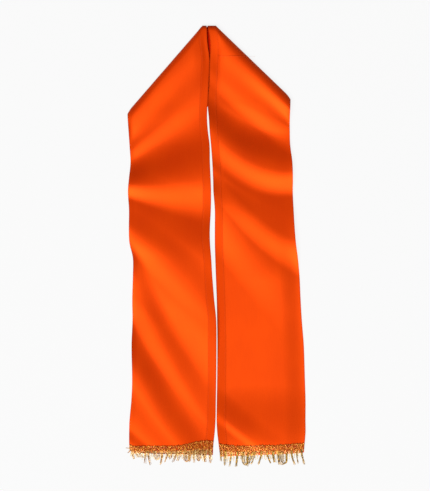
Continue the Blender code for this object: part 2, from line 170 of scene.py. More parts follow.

# Satin finishes: the two tones of the yarn, the dark colour painted in as shade at the folds, along
# the sewn and turned edges, under the braid and in the neck slit, its roughness, how much of its
# light the filaments reflect in their own colour, how far they spread it along the strip only, and
# its clear gloss
Satin = namedtuple("Satin", "deep bright turned roughness lustre direction gloss")
FACE = Satin("#C82600", "#DA3600", "#961600", 0.6, 0.52, 0.5, 1.0)
WRONG_SIDE = Satin("#B42404", "#C02C06", "#B00A00", 0.8, 0.0, 0.0, 0.1)
TURNED_HEM = Satin("#BA2A00", "#C63200", "#921400", 0.7, 0.4, 0.3, 0.5)

# The colour of the clear gloss over the dyed filaments, as light glancing off them looks
GLOSS_TINT = "#FFE65C"

# Patterns of the satin, in metres across the strip and along it
STREAK_SPACING = (0.0016, 0.030)
CLOUD_SPACING = (0.060, 0.090)

# Gold film: its painted hollow shade, its flat colour and its painted glints, and where each lies
# in the pattern
Gold = namedtuple("Gold", "deep middle bright")
# The braid's gold is redder: painted orange light bounced up from the satin, and the satin seen
# between its yarns
BRAID_GOLD = Gold("#A03A02", "#C46816", "#E49A34")
YELLOW_GOLD = Gold("#563A04", "#94701C", "#C69632")
DULL_GOLD = Gold("#6A3E10", "#AA7636", "#D8AC5E")
PALE_GOLD = Gold("#C49E54", "#DABE7C", "#EAD6A4")
GOLD_STOPS = Gold(0.36, 0.5, 0.66)
CRIMP_SPACING = 0.0009
GOLD_PATCH = 0.003

# Sewing thread: its two colours, the second a dark brown that paints the shadow line at the cloth's
# end, its ply, and how dark the painted shade in the hollows between the plies is
SATIN_THREAD = "#DC4408"
PAINTED_SHADOW_THREAD = "#6A2204"
PLY_SPACING = 0.0005
PLY_SHADE = 0.8

# Painted shade lines across the strip where the satin is sewn or turned under, and how much colour
# is left there
ShadeLine = namedtuple("ShadeLine", "share open_share")
SHADE_LINES = [
    ShadeLine(0.0, 0.35),
    ShadeLine(0.014, 1.0),
    ShadeLine(0.885, 1.0),
    ShadeLine(0.9, 0.85),
    ShadeLine(0.915, 1.0),
    ShadeLine(0.985, 1.0),
    ShadeLine(1.0, 0.45),
]

# Soft folds, by where each crest meets the two edges
Fold = namedtuple(
    "Fold",
    "outer_y inner_y sag outer_height inner_height outer_up inner_up outer_down inner_down",
)
FOLDS = {
    "left": [
        Fold(176.5, 307.0, -4.5, 4.0, 4.5, 48.5, 78.0, 21.0, 63.5),
        Fold(116.0, 127.0, -3.5, 9.0, 12.0, 39.0, 113.0, 30.0, 88.0),
        Fold(43.0, -24.0, -7.0, 9.0, 12.0, 114.0, 120.0, 61.0, 140.0),
        Fold(-6.0, -150.0, 10.0, 5.5, 10.0, 78.0, 106.0, 80.0, 140.0),
        Fold(-62.0, -335.0, -18.0, 6.0, 0.0, 87.0, 65.0, 90.0, 19.0),
        Fold(-224.0, -434.0, -19.0, 8.5, 4.5, 95.0, 69.0, 113.0, 26.0),
        Fold(-323.0, -457.0, -14.0, 6.0, 3.0, 68.0, 27.0, 81.0, 32.0),
        Fold(-368.0, -500.0, 0.0, 4.0, 0.0, 32.0, 30.0, 34.0, 30.0),
    ],
    "right": [
        Fold(217.0, 329.0, -3.5, 6.0, 2.5, 33.0, 58.0, 54.0, 33.0),
        Fold(139.0, 216.5, -21.5, 12.0, 12.0, 74.0, 67.0, 48.0, 63.5),
        Fold(11.0, 144.0, -15.5, 12.0, 8.0, 140.0, 70.0, 71.0, 53.5),
        Fold(-68.0, 92.0, -4.0, 2.0, 12.0, 114.0, 45.0, 140.0, 106.0),
        Fold(-378.0, -380.0, 9.0, 6.0, 8.5, 115.0, 115.0, 40.0, 40.0),
        Fold(-430.0, -305.0, -4.0, 0.0, 3.0, 50.0, 50.0, 20.0, 24.0),
    ],
}

# Lengthwise ridges: where across the tail the crest runs, its height, where it starts and ends, and
# how far its ends and flanks reach. The right tail's outer edge drops to the ground past its ridge
Ridge = namedtuple("Ridge", "share height top_y bottom_y end_reach outer_reach inner_reach")
RIDGES = {
    "left": [],
    "right": [Ridge(0.25, 6.2, 50.0, -472.0, 115.0, 0.24, 0.78)],
}

# The stitches on the hem: how far they lie inside its border on the satin, how far from the cloth's
# end and from the fold the row stops, and how much of each pitch is thread that shows
HEM_STITCH_INSET = 1.8
HEM_STITCH_END = 28.0
HEM_STITCH_TOP = 6.0
HEM_STITCH_SHARE = 0.72

# The row below the join seam: how far below, and from and to which share of the width
SEAM_STITCH_BELOW = 1.4
SEAM_STITCH_START = 0.44
SEAM_STITCH_STOP = 0.895
SEAM_STITCH_SHARE = 0.7
SEAM_STITCH_POINTS = 400

# One stitch, from hole to hole: how it arches, and its width, depth and twist at five places
STITCH_POINTS = 5
STITCH_ARCH = np.array([-0.15, 0.03, 0.08, 0.03, -0.15])
STITCH_SECTION = ([0.3] * STITCH_POINTS, [0.16] * STITCH_POINTS, [0.0] * STITCH_POINTS)

# What the braid and the fringe lie on: the satin's upper face over its middle, the step up to the
# hem's, and where across the strip that step is
SATIN_TOP = 0.25
HEM_TOP_STEP = 0.65
HEM_TOP_START = 0.87
HEM_TOP_SPAN = 0.03

# The gold header braid's two edges above the cloth's end
Braid = namedtuple("Braid", "share upper lower")
BRAIDS = {
    "left": [
        Braid(0.0, 12.5, 3.0),
        Braid(0.35, 14.5, 4.5),
        Braid(0.62, 17.0, 5.5),
        Braid(0.8, 24.5, 8.5),
        Braid(1.0, 26.5, 9.0),
    ],
    "right": [
        Braid(0.0, 18.0, 6.0),
        Braid(0.3, 17.0, 5.0),
        Braid(0.55, 18.5, 6.0),
        Braid(0.8, 19.0, 7.0),
        Braid(1.0, 24.0, 11.0),
    ],
}

# The plait of the braid: its yarns and the points along each, their half swings from edge to edge
# and how many more every next yarn of three makes, how much of the braid they sweep, how they
# drift off that, how high they lie, and their section
PLAIT_YARNS = 8
PLAIT_POINTS = 220
PLAIT_SWINGS = 26.0
PLAIT_MORE_SWINGS = 3.0
PLAIT_SWEEP = 0.46
PLAIT_DRIFTS = 12
PLAIT_DRIFT = 0.5
PLAIT_HEIGHT = 0.75
PLAIT_CROSSING = 0.35
PLAIT_LOWEST = 0.3
PLAIT_WIDTH = 1.25
PLAIT_FLATNESS = 0.4

# Loops of film that stand out of the plait, some of them a little past its edges
CRIMPS = 260
CRIMP_POINTS = 8
CRIMP_MARGIN = 0.8
CRIMP_WIDTH = 0.8
CRIMP_DEPTH = 0.3

# Short threads between the braid and the cloth's end, and the share of them that are left
SHORT_THREADS = 90
SHORT_THREADS_LEFT = 0.78
SHORT_THREAD_WIDTH = 0.95

# Chain stitches near the cloth's end, dark to paint its shadow line: from and to which share, how
# far above the end, how wide
Chain = namedtuple("Chain", "start stop above width")
CHAINS = {
    "left": Chain(0.1, 0.56, 0.9, 1.4),
    "right": Chain(0.26, 0.6, 5.0, 1.1),
}
CHAIN_POINTS = 120

# Threads of the fringe: how wide the gold ones are, and how many pale ones lie between them and how
# wide. Then the corners of a thread's section, the points along a hanging and a looped thread, how
# flat it is, how much of its width it loses, and how far it waves
Threads = namedtuple("Threads", "gold_width pale_count pale_width")
THREADS = {
    "left": Threads(1.4, 95, 1.5),
    "right": Threads(1.65, 60, 1.5),
}
THREAD_CORNERS = 4
STRAND_POINTS = 16
LOOP_POINTS = 24
STRAND_FLATNESS = 0.3
STRAND_TAPER = 0.35
STRAND_WAVE = 0.3

# Where along a looped thread its turn starts, how long the turn is, where the thread is furthest
# out, and how much of the way it comes back
LOOP_TURN_START = 0.38
LOOP_TURN_SPAN = 0.3
LOOP_FURTHEST = 0.53
LOOP_RETURN = 0.8

# Tufts of the fringe: share of the width, sideways lean, length past the cloth's end, spread at
# the root, thread count, and 1 where the tuft turns back up as a loop
Tuft = namedtuple("Tuft", "share lean reach spread threads loop")
TUFTS = {
    "left": [
        Tuft(0.01, -8.0, -5.5, 2.5, 8, 0),
        Tuft(0.015, -5.0, 3.0, 2.0, 4, 0),
        Tuft(0.03, 4.0, 14.0, 3.0, 4, 0),
        Tuft(0.06, 8.0, 8.0, 3.0, 4, 0),
        Tuft(0.11, 9.0, 9.0, 3.0, 3, 0),
        Tuft(0.19, -2.0, 19.0, 3.0, 5, 0),
        Tuft(0.22, 4.0, 21.0, 3.0, 4, 0),
        Tuft(0.28, 7.0, 13.0, 3.0, 3, 0),
        Tuft(0.32, 3.0, 13.0, 2.5, 3, 1),
        Tuft(0.39, -2.5, 20.0, 3.5, 6, 0),
        Tuft(0.46, -6.0, 15.0, 3.0, 5, 0),
        Tuft(0.51, -3.0, 10.0, 2.5, 3, 1),
        Tuft(0.57, -8.0, 15.0, 3.0, 5, 0),
        Tuft(0.62, -7.0, 13.0, 3.0, 4, 0),
        Tuft(0.68, 1.0, 15.0, 4.0, 6, 1),
        Tuft(0.73, -2.0, 14.0, 3.5, 6, 0),
        Tuft(0.77, 0.0, 15.0, 3.0, 4, 0),
        Tuft(0.83, 0.0, 13.0, 3.0, 5, 1),
        Tuft(0.88, 4.0, 14.0, 4.0, 6, 0),
        Tuft(0.91, -2.0, 13.0, 3.0, 4, 0),
        Tuft(0.96, 1.0, 15.0, 4.0, 6, 0),
    ],
    "right": [
        Tuft(0.985, 1.0, 9.0, 3.0, 3, 0),
        Tuft(0.93, -1.0, 17.0, 3.4, 6, 0),
        Tuft(0.86, -2.5, 19.5, 2.8, 5, 0),
        Tuft(0.79, -1.5, 20.5, 3.6, 6, 0),
        Tuft(0.71, 3.0, 19.5, 3.6, 5, 1),
        Tuft(0.66, -3.0, 20.0, 3.2, 5, 0),
        Tuft(0.61, -8.0, 17.0, 3.4, 5, 0),
        Tuft(0.58, -7.0, 17.0, 3.0, 4, 0),
        Tuft(0.50, -6.0, 18.0, 3.0, 5, 0),
        Tuft(0.44, 7.0, 16.0, 3.4, 6, 0),
        Tuft(0.37, 4.5, 15.5, 3.8, 7, 0),
        Tuft(0.31, 2.5, 20.0, 2.6, 5, 0),
        Tuft(0.245, 1.5, 20.5, 6.0, 7, 1),
        Tuft(0.155, 7.0, 21.0, 3.0, 5, 0),
        Tuft(0.09, 3.0, 19.0, 2.6, 4, 0),
        Tuft(0.035, 6.0, 21.0, 2.6, 4, 0),
    ],
}

# The ground: its half width in metres, its colour under the lamp and how much light it gives off
FLOOR_HALF = 9.0
FLOOR_UNLIT = "#404040"
FLOOR_GLOW = 0.95
SURROUND = 0.2

# The soft box: its place and size in metres, and its power in watts
SoftBox = namedtuple("SoftBox", "place width height power")
KEY = SoftBox((-3.2, -7.2, 10.2), 8.0, 6.0, 3150.0)

# The camera: its lens and sensor, its place over the sash in metres, and the height of the view,
# which is 491 lines of 1.85 mm
LENS = 240.0
SENSOR = 36.0
CAMERA_X = -0.003
CAMERA_Y = 0.0009
VIEW_TALL = 491 * 1.85


def mix(a, b, t):
    """The value a share t of the way from a to b."""
    return a + (b - a) * t


def ease(t):
    """A smooth step from 0 to 1."""
    t = np.clip(t, 0.0, 1.0)
    return t * t * (3.0 - 2.0 * t)


def bump(t):
    """A smooth hump, 1 in its middle and 0 from 1 outwards."""
    return np.where(np.abs(t) < 1.0, 0.5 + 0.5 * np.cos(np.pi * np.clip(t, -1.0, 1.0)), 0.0)


def along(table, key, value, at):
    """A table's column read smoothly at any values of its key column, which runs one way."""
    keys = np.array([getattr(row, key) for row in table], float)
    values = np.array([getattr(row, value) for row in table], float)
    if keys[0] > keys[-1]:
        keys = keys[::-1]
        values = values[::-1]
    at = np.clip(at, keys[0], keys[-1])
    i = np.clip(np.searchsorted(keys, at, side="right") - 1, 0, len(keys) - 2)
    before = np.maximum(i - 1, 0)
    after = np.minimum(i + 2, len(keys) - 1)
    span = keys[i + 1] - keys[i]
    slope_a = (values[i + 1] - values[before]) / (keys[i + 1] - keys[before])
    slope_b = (values[after] - values[i]) / (keys[after] - keys[i])
    t = (at - keys[i]) / span
    rise = values[i + 1] - values[i]
    start = t * (1.0 - t) * (1.0 - t) * (slope_a * span - rise)
    finish = t * t * (1.0 - t) * (rise - slope_b * span)
    return mix(values[i], values[i + 1], t) + start + finish


def edge_x(side, share, y):
    """X of a lengthwise line of the tail: share 0 is its outer edge and share 1 its inner edge."""
    outer = along(OUTLINE, "y", side + "_outer", y)
    inner = along(OUTLINE, "y", side + "_inner", y)
    return mix(outer, inner, share)


def fold_line_y(side, x):
    """Height of the diagonal fold line over x, cut off level at the apex."""
    line = FOLD_LINES[side]
    slope = (line.apex_y - line.outer_y) / (line.apex_x - line.outer_x)
    return np.minimum(line.outer_y + slope * (x - line.outer_x), TOP_Y)


def crest(side, share):
    """The outermost points of the rolled fold on some lengthwise lines, as x and y."""
    share = np.asarray(share, float)
    low = np.zeros_like(share)
    high = np.full_like(share, TOP_Y)
    for _ in range(HALVINGS):
        middle = 0.5 * (low + high)
        below = middle < fold_line_y(side, edge_x(side, share, middle))
        low = np.where(below, middle, low)
        high = np.where(below, high, middle)
    inset = CORNER_INSET * np.maximum(0.0, 1.0 - share / CORNER_SHARE) ** 2
    return edge_x(side, share, low), low - inset


def inward(side, share):
    """Unit directions from the fold's outermost line into the sash, as x and y."""
    share = np.maximum(share, CORNER_SHARE)
    ax, ay = crest(side, np.maximum(share - TANGENT_STEP, CORNER_SHARE))
    bx, by = crest(side, np.minimum(share + TANGENT_STEP, 1.0))
    length = np.hypot(bx - ax, by - ay)
    nx = (by - ay) / length
    ny = -(bx - ax) / length
    turn = np.where(ny < 0.0, 1.0, -1.0)
    return nx * turn, ny * turn


def roll_scale(share):
    """The roll grows smaller towards the apex, where the two folds meet."""
    return mix(1.0, APEX_SCALE, ease((share - APEX_SHARE) / (1.0 - APEX_SHARE)))


def cloth_end_y(side, share):
    """Height of the cloth's cut end on some lengthwise lines."""
    end = CLOTH_ENDS[side]
    corner = end.corner_rise * np.maximum(0.0, 1.0 - share / CORNER_SHARE) ** 2
    return mix(end.outer_y, end.inner_y, share) + corner


def neck_edge_y(x):
    """Height of the neck stretch's lower edge."""
    left = FOLD_LINES["left"]
    right = FOLD_LINES["right"]
    return mix(left.outer_y, right.outer_y, (x - left.outer_x) / (right.outer_x - left.outer_x))


def fold_rise(fold, share, y):
    """Height of one soft fold."""
    sag = 4.0 * share * (1.0 - share) * fold.sag
    offset = y - mix(fold.outer_y, fold.inner_y, share) - sag
    up = mix(fold.outer_up, fold.inner_up, share)
    down = mix(fold.outer_down, fold.inner_down, share)
    reach = np.where(offset > 0.0, up, down)
    return mix(fold.outer_height, fold.inner_height, share) * bump(offset / reach)


def ridge_rise(ridge, share, y):
    """Height of one lengthwise ridge."""
    run = ease((ridge.top_y - y) / ridge.end_reach) * ease((y - ridge.bottom_y) / ridge.end_reach)
    offset = share - ridge.share
    reach = np.where(offset > 0.0, ridge.inner_reach, ridge.outer_reach)
    return ridge.height * run * bump(offset / reach)


def resting_height(side, share, x, y):
    """Mid-height of the cloth away from the rolled folds."""
    rise = sum(fold_rise(fold, share, y) for fold in FOLDS[side])
    rise += sum(ridge_rise(ridge, share, y) for ridge in RIDGES[side])
    lift = NECK_LIFT * ease((y - neck_edge_y(x)) / NECK_DRAPE + 1.0)
    return MID_HEIGHT + lift + rise


def upper_height(side, share, x, y, inset):
    """Mid-height of the upper layer, inset being its distance inside the fold's outermost line."""
    roll = ROLLS[side]
    scale = roll_scale(share)
    reach = roll.reach * scale
    edge = MID_HEIGHT + ROLL_TUCK
    top = edge + roll.rise * scale
    rounded = np.sqrt(np.clip(1.0 - (1.0 - inset / reach) ** 2, 0.0, 1.0))
    falling = ease((inset - reach) / mix(roll.outer_shoulder, roll.inner_shoulder, share))
    shoulder = mix(top, resting_height(side, share, x, y), falling)
    return np.where(inset < reach, edge + (top - edge) * rounded, shoulder)


def shares_across(sizes):
    """Shares of the width at the grid's lengthwise lines, with one on the hem's edge."""
    hem = sizes.hem_width / sizes.strip_width
    hem_lines = max(2, round(sizes.columns * hem))
    body = np.linspace(0.0, 1.0 - hem, sizes.columns - hem_lines, endpoint=False)
    return np.concatenate([body, np.linspace(1.0 - hem, 1.0, hem_lines + 1)])


def upper_rows(side, share, sizes):
    """The upper layer's grid of points, from the fold's outermost line to the cloth's end.

    With it comes the painted shade at each point: 1 where there is none, less at the fold and under
    the braid.
    """
    start_y = crest(side, share)[1]
    fall = -inward(side, share)[1]
    scale = roll_scale(share)
    turns = np.linspace(0.0, 0.5 * np.pi, ROLL_LINES)
    roll = ROLLS[side]
    rounded = roll.reach * (1.0 - np.cos(turns))[:, None] * scale
    shoulder_reach = mix(roll.outer_shoulder, roll.inner_shoulder, share)
    shoulder_steps = np.linspace(0.0, 1.0, SHOULDER_LINES)[1:, None]
    shoulder = roll.reach * scale + shoulder_reach * shoulder_steps
    drops = np.concatenate([rounded, shoulder]) / fall
    length = start_y - cloth_end_y(side, share)
    steps = np.linspace(0.0, 1.0, sizes.tail_rows + 1)[1:, None]
    drops = np.concatenate([drops, mix(drops[-1], length, steps)])
    y = start_y - drops
    x = edge_x(side, share, y)
    z = upper_height(side, share, x, y, drops * fall)
    # Painted shade where the satin turns over the fold and where it lies under the braid
    turned = np.maximum(0.0, 1.0 - drops * fall / FOLD_SHADE_REACH) ** 2
    upper = along(BRAIDS[side], "share", "upper", share)
    covered = ease((cloth_end_y(side, share) + upper + END_SHADE_PAST - y) / END_SHADE_FADE)
    return np.stack([x, y, z], axis=2), 1.0 - np.maximum(FOLD_SHADE * turned, END_SHADE * covered)


def tuck_rows(side, share):
    """Points round under the fold, from just past its outermost line to the end of its lip."""
    start_x, start_y = crest(side, share)
    nx, ny = inward(side, share)
    across = 1.0 if side == "left" else -1.0
    turn_down = ease((share - LIP_TURN_START) / LIP_TURN_SPAN)
    close_length = math.hypot(LIP_SLANT, 1.0)
    hx = mix(across, across * LIP_SLANT / close_length, turn_down)
    hy = mix(0.0, -1.0 / close_length, turn_down)
    length = np.hypot(hx, hy)
    hx = hx / length
    hy = hy / length
    slant = hx * nx + hy * ny
    lip = mix(LIP_OUTER, LIP_APEX, ease((share - LIP_SHARE) / (1.0 - LIP_SHARE)))
    turns = np.linspace(0.0, 0.5 * np.pi, TUCK_LINES)[1:, None]
    inset = np.concatenate([ROLL_TUCK * (1.0 - np.cos(turns)) + 0.0 * share, lip[None, :]])
    height = MID_HEIGHT + ROLL_TUCK * (1.0 - np.sin(turns)) + 0.0 * share
    height = np.concatenate([height, np.full_like(lip, MID_HEIGHT)[None, :]])
    x = start_x + hx * inset / slant
    y = start_y + hy * inset / slant
    return np.stack([x, y, height], axis=2)


def lengthwise_uv(grid, share, sizes):
    """Texture places in metres: across the strip, and along it from the grid's first row."""
    step = np.linalg.norm(np.diff(grid, axis=0), axis=2)
    run = np.concatenate([np.zeros((1, grid.shape[1])), np.cumsum(step, axis=0)])
    run = run - run[-1]
    across = np.broadcast_to(share * sizes.strip_width * MM_PER_M, run.shape)
    return np.stack([across, run], axis=2) * MM


def open_surface(grid, uv, shade):
    """An open surface through a grid of points, its last rows facing up."""
    surface = bmesh.new()
    layer = surface.loops.layers.uv.new("strip")
    shade_layer = surface.verts.layers.float.new("fold_shade")
    row_layer = surface.verts.layers.int.new("row")
    column_layer = surface.verts.layers.int.new("column")
    rows, columns = grid.shape[:2]
    verts = []
    for i in range(rows):
        line = []
        for j in range(columns):
            vert = surface.verts.new(grid[i, j])
            vert[row_layer] = i
            vert[column_layer] = j
            vert[shade_layer] = shade[i, j]
            line.append(vert)
        verts.append(line)
    a, b = grid[-2:, 0], grid[-2:, 1]
    turn = np.cross(a[1] - a[0], b[0] - a[0])[2] < 0.0
    for i in range(rows - 1):
        for j in range(columns - 1):
            places = [(i, j), (i + 1, j), (i + 1, j + 1), (i, j + 1)]
            if turn:
                places.reverse()
            face = surface.faces.new([verts[r][c] for r, c in places])
            for loop, (r, c) in zip(face.loops, places):
                loop[layer].uv = uv[r, c]
    surface.normal_update()
    return surface


def with_edges(faces):
    """Faces together with their edges and vertices."""
    edges = {edge for face in faces for edge in face.edges}
    verts = {vert for face in faces for vert in face.verts}
    return list(verts) + list(edges) + list(faces)


def split_at_seam(surface, fold_row):
    """The faces on each side of the join seam, cut apart across the right fold."""
    row_layer = surface.verts.layers.int["row"]
    mark = surface.faces.layers.int.new("upper")
    for face in surface.faces:
        face[mark] = int(all(vert[row_layer] >= fold_row for vert in face.verts))
    crossings = []
    for y in (SEAM_Y + 0.5 * SEAM_GAP, SEAM_Y - 0.5 * SEAM_GAP):
        upper = [face for face in surface.faces if face[mark]]
        cut = bmesh.ops.bisect_plane(
            surface,
            geom=with_edges(upper),
            dist=UPPER_SNAP,
            plane_co=(0, y, 0),
            plane_no=(0, 1, 0),
        )
        points = [item for item in cut["geom_cut"] if isinstance(item, bmesh.types.BMVert)]
        crossings.append(max(point.co.x for point in points))
    for x in crossings:
        lower = [face for face in surface.faces if not face[mark]]
        bmesh.ops.bisect_plane(
            surface,
            geom=with_edges(lower),
            dist=LOWER_SNAP,
            plane_co=(x, 0, 0),
            plane_no=(1, 0, 0),
        )
    first = []
    second = []
    for face in surface.faces:
        centre = face.calc_center_median()
        ahead = SEAM_Y - centre.y if face[mark] else centre.x - sum(crossings) / 2.0
        width = 0.5 * SEAM_GAP if face[mark] else 0.5 * abs(crossings[1] - crossings[0])
        if ahead > width:
            second.append(face)
        elif ahead < -width:
            first.append(face)
    return first, second


def hem_faces(surface, first_row, first_column):
    """The upper layer's faces on the hem's stretch of the inner edge."""
    row = surface.verts.layers.int["row"]
    column = surface.verts.layers.int["column"]
    return [
        face
        for face in surface.faces
        if all(vert[row] >= first_row and vert[column] >= first_column for vert in face.verts)
    ]


def add_piece(name, solid, finishes, nodes):
    """Add one piece to the scene in metres, riding on the part in place of the named nodes."""
    bmesh.ops.scale(solid, vec=(MM, MM, MM), verts=solid.verts[:])
    mesh = bpy.data.meshes.new(name)
    solid.to_mesh(mesh)
    solid.free()
    for finish in finishes:
        mesh.materials.append(finish)
    mesh.polygons.foreach_set("use_smooth", [True] * len(mesh.polygons))
    piece = bpy.data.objects.new(name, mesh)
    bpy.context.scene.collection.objects.link(piece)
    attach(piece, "root")
    if nodes:
        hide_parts(*nodes)
    return piece


def thin_shell(surface, faces, wall, offset=0.0):
    """A closed thin shell on some faces of a surface, moved out along their normals.

    The upper side takes the first finish and the under side the second. The rim is sharp.
    """
    surface.normal_update()
    source_uv = surface.loops.layers.uv["strip"]
    source_shade = surface.verts.layers.float["fold_shade"]
    solid = bmesh.new()
    uv = solid.loops.layers.uv.new("strip")
    shade = solid.verts.layers.float.new("fold_shade")
    upper = {}
    lower = {}
    for face in faces:
        for vert in face.verts:
            if vert not in upper:
                normal = vert.normal.normalized()
                upper[vert] = solid.verts.new(vert.co + normal * (offset + 0.5 * wall))
                lower[vert] = solid.verts.new(vert.co + normal * (offset - 0.5 * wall))
                upper[vert][shade] = vert[source_shade]
                lower[vert][shade] = vert[source_shade]
    chosen = set(faces)
    for face in faces:
        places = [loop[source_uv].uv.copy() for loop in face.loops]
        top = solid.faces.new([upper[vert] for vert in face.verts])
        under = solid.faces.new([lower[vert] for vert in reversed(face.verts)])
        under.material_index = 1
        for loop, place in zip(top.loops, places):
            loop[uv].uv = place
        for loop, place in zip(under.loops, reversed(places)):
            loop[uv].uv = place
        for loop in face.loops:
            if sum(other in chosen for other in loop.edge.link_faces) == 1:
                a = loop.vert
                b = loop.link_loop_next.vert
                rim = solid.faces.new((upper[b], upper[a], lower[a], lower[b]))
                for corner in rim.loops:
                    corner[uv].uv = loop[source_uv].uv
                    corner.edge.smooth = False
    return solid


def hex_colour(code):
    """Linear red, green and blue of an sRGB hex colour."""
    parts = [int(code[i : i + 2], 16) / 255.0 for i in (1, 3, 5)]
    return [p / 12.92 if p <= 0.04045 else ((p + 0.055) / 1.055) ** 2.4 for p in parts] + [1.0]


def add_shader_node(tree, kind, settings=(), values=(), links=()):
    """Add a node with its settings, socket values and incoming links."""
    node = tree.nodes.new(kind)
    for name, value in settings:
        setattr(node, name, value)
    for name, value in values:
        node.inputs[name].default_value = value
    for name, source in links:
        tree.links.new(source, node.inputs[name])
    return node


def new_finish(name):
    """An empty node material with its output."""
    finish = bpy.data.materials.new(name)
    finish.use_nodes = True
    finish.node_tree.nodes.clear()
    output = finish.node_tree.nodes.new("ShaderNodeOutputMaterial")
    return finish, finish.node_tree, output


def painted_edge_shade(tree, place):
    """1 where no shade is painted, less along the strip's edges and the hem's sewn line and round
    the folds.

    These are painted shade: soft darker lines where the cloth turns at its edges and where the hem
    is sewn down, times the painted fold shade.
    """
    parts = add_shader_node(tree, "ShaderNodeSeparateXYZ", links=[("Vector", place.outputs["UV"])])
    across = add_shader_node(
        tree,
        "ShaderNodeMath",
        [("operation", "DIVIDE")],
        [(1, bpy.context.scene.patka_sizes.strip_width)],
        [(0, parts.outputs["X"])],
    )
    ramp = add_shader_node(tree, "ShaderNodeValToRGB", links=[("Fac", across.outputs["Value"])])
    stops = ramp.color_ramp.elements
    stops[0].color = (SHADE_LINES[0].open_share,) * 3 + (1.0,)
    stops[1].color = (SHADE_LINES[-1].open_share,) * 3 + (1.0,)
    for shade_line in SHADE_LINES[1:-1]:
        stops.new(shade_line.share).color = (shade_line.open_share,) * 3 + (1.0,)
    fold = add_shader_node(tree, "ShaderNodeAttribute", [("attribute_name", "fold_shade")])
    both = add_shader_node(
        tree,
        "ShaderNodeMath",
        [("operation", "MULTIPLY")],
        links=[(0, ramp.outputs["Color"]), (1, fold.outputs["Fac"])],
    )
    return both.outputs["Value"]


def woven_satin(name, satin):
    """Polyester satin: long warp floats of smooth dyed filament.

    The floats lie along the strip and reflect in their own colour. The eye sees a broad glow that
    changes quickly along the sash and slowly across it, with faint lengthwise streaks.
    """
    finish, tree, output = new_finish(name)
    place = add_shader_node(tree, "ShaderNodeUVMap", [("uv_map", "strip")])
    # Real floats are 0.1 mm apart, too fine to show here, so the streaks are drawn 1.6 mm apart
    streak_place = add_shader_node(
        tree,
        "ShaderNodeMapping",
        values=[("Scale", (1.0 / STREAK_SPACING[0], 1.0 / STREAK_SPACING[1], 1.0))],
        links=[("Vector", place.outputs["UV"])],
    )
    streaks = add_shader_node(
        tree,
        "ShaderNodeTexNoise",
        values=[("Scale", 1.0), ("Detail", 3.0), ("Roughness", 0.6)],
        links=[("Vector", streak_place.outputs["Vector"])],
    )
    # Slow unevenness of the dye and of the press, about 60 mm across and 90 mm along
    cloud_place = add_shader_node(
        tree,
        "ShaderNodeMapping",
        values=[("Scale", (1.0 / CLOUD_SPACING[0], 1.0 / CLOUD_SPACING[1], 1.0))],
        links=[("Vector", place.outputs["UV"])],
    )
    clouds = add_shader_node(
        tree,
        "ShaderNodeTexNoise",
        values=[("Scale", 1.0), ("Detail", 2.0)],
        links=[("Vector", cloud_place.outputs["Vector"])],
    )
    blend = add_shader_node(
        tree,
        "ShaderNodeMath",
        [("operation", "MULTIPLY_ADD")],
        [(1, 0.5)],
        [(0, streaks.outputs["Fac"])],
    )
    tree.links.new(clouds.outputs["Fac"], blend.inputs[2])
    tint = add_shader_node(
        tree,
        "ShaderNodeMix",
        [("data_type", "RGBA")],
        links=[("Factor", blend.outputs["Value"])],
    )
    tint.inputs[6].default_value = hex_colour(satin.deep)
    tint.inputs[7].default_value = hex_colour(satin.bright)
    # Painted shade: the dark turned colour mixed in at the folds, edges, sewn line, braid and slit
    shaded = add_shader_node(
        tree,
        "ShaderNodeMix",
        [("data_type", "RGBA")],
        links=[("Factor", painted_edge_shade(tree, place)), (7, tint.outputs[2])],
    )
    shaded.inputs[6].default_value = hex_colour(satin.turned)
    relief = add_shader_node(
        tree,
        "ShaderNodeBump",
        values=[("Strength", 0.12), ("Distance", 0.0002)],
        links=[("Height", streaks.outputs["Fac"])],
    )
    tangent = add_shader_node(
        tree, "ShaderNodeTangent", [("direction_type", "UV_MAP"), ("uv_map", "strip")]
    )
    shader = add_shader_node(
        tree,
        "ShaderNodeBsdfPrincipled",
        values=[
            ("Metallic", satin.lustre),
            ("Roughness", satin.roughness),
            ("Anisotropic", satin.direction),
            ("Specular IOR Level", satin.gloss),
            ("Specular Tint", hex_colour(GLOSS_TINT)),
        ],
        links=[
            ("Base Color", shaded.outputs[2]),
            ("Normal", relief.outputs["Normal"]),
            ("Tangent", tangent.outputs["Tangent"]),
        ],
    )
    tree.links.new(shader.outputs["BSDF"], output.inputs["Surface"])
    return finish


def crimped_gold_thread(name, gold):
    """Metallised film thread: flat gold film crimped round a core.

    Each crimp catches the light on its own through the bump, and small bright glints beside brown
    hollows are also painted into its colour.
    """
    finish, tree, output = new_finish(name)
    place = add_shader_node(tree, "ShaderNodeTexCoord")
    # Crimps of the film are about 0.9 mm apart
    crimps = add_shader_node(
        tree,
        "ShaderNodeTexVoronoi",
        values=[("Scale", 1.0 / CRIMP_SPACING)],
        links=[("Vector", place.outputs["Object"])],
    )
    # Painted glints and hollow shade change about every 3 mm, in patches
    patches = add_shader_node(
        tree,
        "ShaderNodeTexNoise",
        values=[("Scale", 1.0 / GOLD_PATCH), ("Detail", 3.0)],
        links=[("Vector", place.outputs["Object"])],
    )
    ramp = add_shader_node(tree, "ShaderNodeValToRGB", links=[("Fac", patches.outputs["Fac"])])
    stops = ramp.color_ramp.elements
    stops[0].position = GOLD_STOPS.deep
    stops[0].color = hex_colour(gold.deep)
    stops[1].position = GOLD_STOPS.bright
    stops[1].color = hex_colour(gold.bright)
    stops.new(GOLD_STOPS.middle).color = hex_colour(gold.middle)
    relief = add_shader_node(
        tree,
        "ShaderNodeBump",
        values=[("Strength", 0.7), ("Distance", 0.0003)],
        links=[("Height", crimps.outputs["Distance"])],
    )
    shader = add_shader_node(
        tree,
        "ShaderNodeBsdfPrincipled",
        values=[("Metallic", 0.4), ("Roughness", 0.35)],
        links=[("Base Color", ramp.outputs["Color"]), ("Normal", relief.outputs["Normal"])],
    )
    tree.links.new(shader.outputs["BSDF"], output.inputs["Surface"])
    return finish


